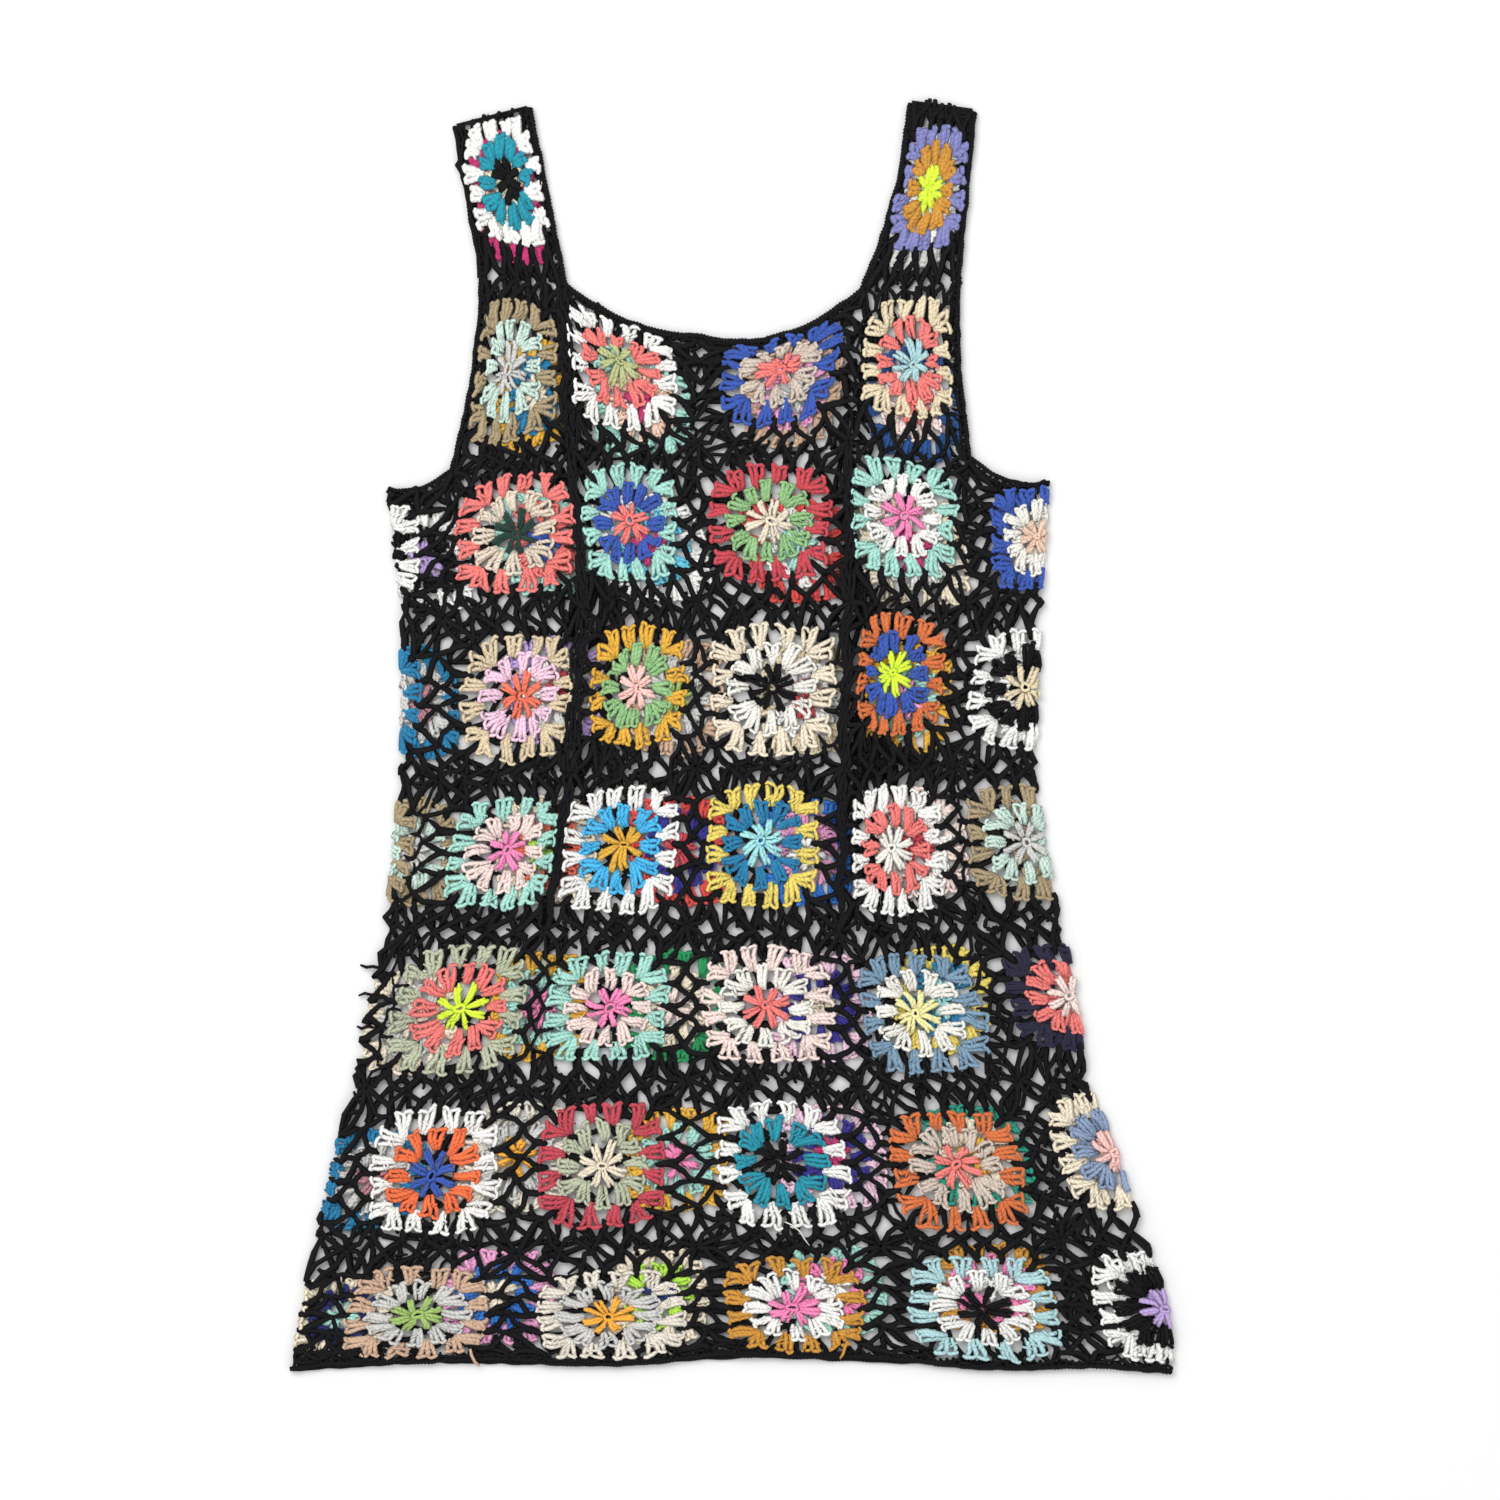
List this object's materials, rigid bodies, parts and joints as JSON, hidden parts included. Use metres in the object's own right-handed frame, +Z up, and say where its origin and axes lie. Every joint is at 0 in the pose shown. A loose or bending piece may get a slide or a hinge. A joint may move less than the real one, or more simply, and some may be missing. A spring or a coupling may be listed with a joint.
{
  "type": "crochet dress",
  "caption": "Sleeveless A-line dress of joined granny squares in many yarn colours on a black net, with a scooped neck and wide straps, laid flat.",
  "frame": {"origin": "middle of the outline of the dress as it lies, on the surface that it lies on", "axes": "+X towards the right of the front as seen from above, +Y from the hem to the shoulders, +Z up from the surface"},
  "size_m": [0.5609, 0.8075, 0.0103],
  "materials": {
    "joined_squares": "matt crocheted cotton in many colours, black between the squares",
    "black_edging": "matt black crocheted cotton"
  },
  "bodies": {
    "root": {"round_1_front": "joined_squares", "round_2_front": "joined_squares", "round_3_front": "joined_squares", "round_4_front": "joined_squares", "round_5_front": "joined_squares", "round_6_front": "joined_squares", "yoke_front": "joined_squares", "strap_left_front": "joined_squares", "strap_right_front": "joined_squares", "round_1_back": "joined_squares", "round_2_back": "joined_squares", "round_3_back": "joined_squares", "round_4_back": "joined_squares", "round_5_back": "joined_squares", "round_6_back": "joined_squares", "yoke_back": "joined_squares", "strap_left_back": "joined_squares", "strap_right_back": "joined_squares", "neck_edging_front": "black_edging", "armhole_edging_left_front": "black_edging", "armhole_edging_right_front": "black_edging", "hem_edging_front": "black_edging", "neck_edging_back": "black_edging", "armhole_edging_left_back": "black_edging", "armhole_edging_right_back": "black_edging", "hem_edging_back": "black_edging"}
  },
  "joints": []
}
